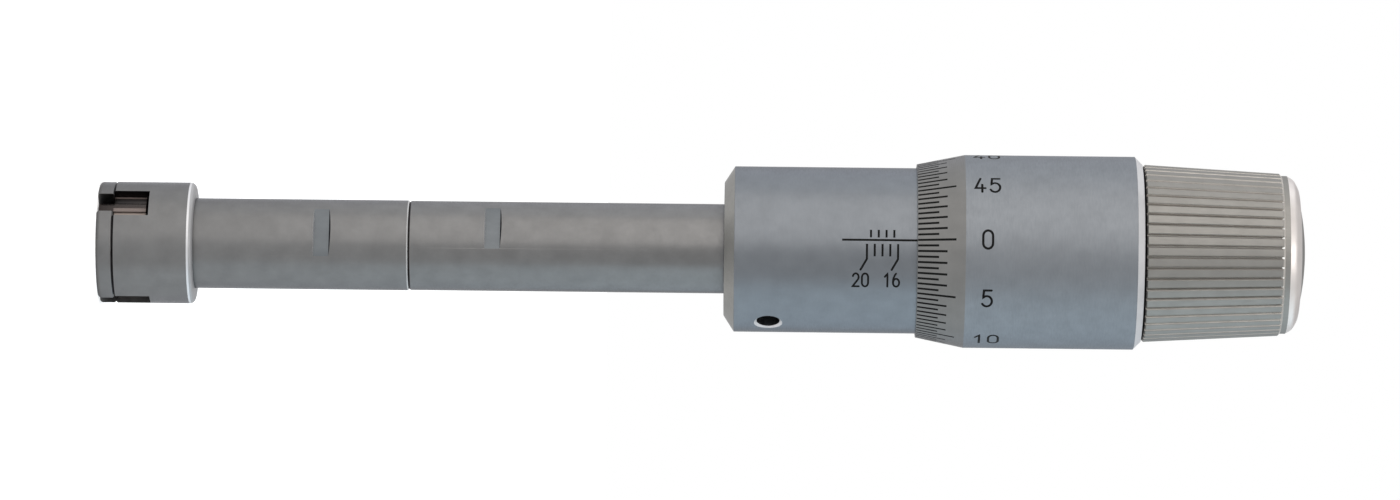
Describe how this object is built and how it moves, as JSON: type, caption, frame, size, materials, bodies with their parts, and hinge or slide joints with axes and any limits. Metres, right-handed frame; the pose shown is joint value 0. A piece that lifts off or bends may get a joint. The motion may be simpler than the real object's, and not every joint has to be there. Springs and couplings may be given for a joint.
{
  "type": "three-point internal micrometer",
  "caption": "Three-point internal micrometer: a cone spreads three carbide anvils in a slotted head, driven by a screw with graduated sleeve, thimble and fluted ratchet knob.",
  "frame": {"origin": "centre of the front cap's flat face, on the instrument's axis", "axes": "+Z along the axis from the measuring head to the ratchet, -Y towards the index line of the scale"},
  "size_m": [0.025, 0.025, 0.1565],
  "materials": {
    "satin_steel": "satin turned steel",
    "satin_chrome": "satin chrome",
    "nickel": "nickel plate, fluted",
    "ground_steel": "ground, bright",
    "carbide": "ground carbide",
    "spring_steel": "oiled",
    "black_steel": "blackened",
    "bronze": "bored"
  },
  "bodies": {
    "root": {"front_cap": "satin_steel", "head_housing": "satin_steel", "cap_screws": "ground_steel", "anvil_spring_1": "spring_steel", "anvil_spring_2": "spring_steel", "anvil_spring_3": "spring_steel", "guide_bush": "bronze", "rear_bush": "bronze", "cone_spring": "spring_steel", "front_tube": "satin_steel", "rear_tube": "satin_steel", "inner_barrel": "ground_steel", "adjusting_nut": "ground_steel", "sleeve_set_screw": "black_steel", "sleeve": "satin_chrome"},
    "anvil_one": {"anvil_1": "ground_steel", "carbide_tip_1": "carbide"},
    "anvil_two": {"anvil_2": "ground_steel", "carbide_tip_2": "carbide"},
    "anvil_three": {"anvil_3": "ground_steel", "carbide_tip_3": "carbide"},
    "cone_rod": {"cone": "ground_steel", "push_rod": "ground_steel", "thrust_ball": "ground_steel"},
    "thimble": {"micrometer_spindle": "ground_steel", "thimble": "satin_chrome", "ratchet_stem": "ground_steel", "ratchet_wheel": "ground_steel", "retaining_washer": "ground_steel", "retaining_screw": "ground_steel"},
    "ratchet": {"ratchet_knob": "nickel", "pawl_disc": "ground_steel", "ratchet_spring": "spring_steel", "end_cap": "nickel"}
  },
  "joints": [
    {"name": "spindle_advance", "type": "slide", "parent": "root", "child": "cone_rod", "axis": [0, 0, -1], "range_m": [0, 0.0065], "deforming": ["cone_spring"]},
    {"name": "thimble_turn", "type": "hinge", "parent": "cone_rod", "child": "thimble", "pos_m": [0, 0, 0], "axis": [0, 0, -1], "range_deg": [0, 4680]},
    {"name": "ratchet_turn", "type": "hinge", "parent": "thimble", "child": "ratchet", "pos_m": [0, 0, 0], "axis": [0, 0, -1], "continuous": true},
    {"name": "anvil_lift_1", "type": "slide", "parent": "root", "child": "anvil_one", "axis": [0.9962, -0.0872, 0], "range_m": [0, 0.00325], "deforming": ["anvil_spring_1"]},
    {"name": "anvil_lift_2", "type": "slide", "parent": "root", "child": "anvil_two", "axis": [-0.4226, 0.9063, 0], "range_m": [0, 0.00325], "deforming": ["anvil_spring_2"]},
    {"name": "anvil_lift_3", "type": "slide", "parent": "root", "child": "anvil_three", "axis": [-0.5736, -0.8192, 0], "range_m": [0, 0.00325], "deforming": ["anvil_spring_3"]}
  ],
  "couplings": [
    {"joint": "thimble_turn", "follows": "spindle_advance", "rad_per_m": 12566},
    {"joint": "anvil_lift_1", "follows": "spindle_advance", "ratio": 0.5},
    {"joint": "anvil_lift_2", "follows": "spindle_advance", "ratio": 0.5},
    {"joint": "anvil_lift_3", "follows": "spindle_advance", "ratio": 0.5}
  ]
}
